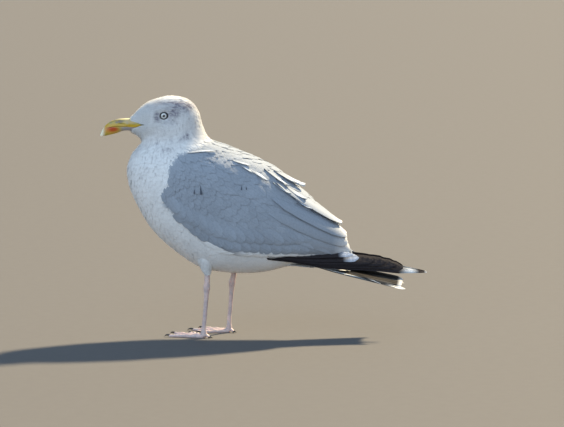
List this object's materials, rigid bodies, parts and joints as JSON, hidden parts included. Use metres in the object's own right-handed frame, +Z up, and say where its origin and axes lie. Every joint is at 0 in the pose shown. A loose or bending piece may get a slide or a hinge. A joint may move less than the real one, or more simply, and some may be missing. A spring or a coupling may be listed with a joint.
{
  "type": "herring gull",
  "caption": "Life-size herring gull, a still museum model, standing on both webbed feet with wings folded and the head level, bill closed.",
  "frame": {"origin": "on the floor, under the middle of the bird's length and width", "axes": "+Z up, the bill points towards -X, the bird's left side faces -Y"},
  "size_m": [0.49, 0.1354, 0.362],
  "materials": {
    "plumage_white": "soft matt white feathers, streaked grey-brown on the head",
    "plumage_grey": "smooth blue-grey feathers with a faint sheen",
    "plumage_black": "black flight feathers with white tips, slightly glossy",
    "bill": "smooth yellow horn with a red spot and a pale tip",
    "eye": "wet and clear, pale yellow iris with a black pupil",
    "leg": "pink scaled skin, satin",
    "claw": "dark horn, satin"
  },
  "bodies": {
    "root": {"head": "plumage_white", "neck": "plumage_white", "trunk": "plumage_white", "tail": "plumage_white", "thigh_left": "plumage_white", "thigh_right": "plumage_white", "mantle": "plumage_grey", "wing_left_coverts": "plumage_grey", "wing_right_coverts": "plumage_grey", "wing_left_tertials": "plumage_grey", "wing_right_tertials": "plumage_grey", "wing_left_primaries": "plumage_black", "wing_right_primaries": "plumage_black", "bill_upper": "bill", "bill_lower": "bill", "eye_left": "eye", "eye_right": "eye", "shank_left": "leg", "shank_right": "leg", "foot_left": "leg", "foot_right": "leg", "claw_left_outer": "claw", "claw_left_middle": "claw", "claw_left_inner": "claw", "claw_left_hind": "claw", "claw_right_outer": "claw", "claw_right_middle": "claw", "claw_right_inner": "claw", "claw_right_hind": "claw"}
  },
  "joints": []
}
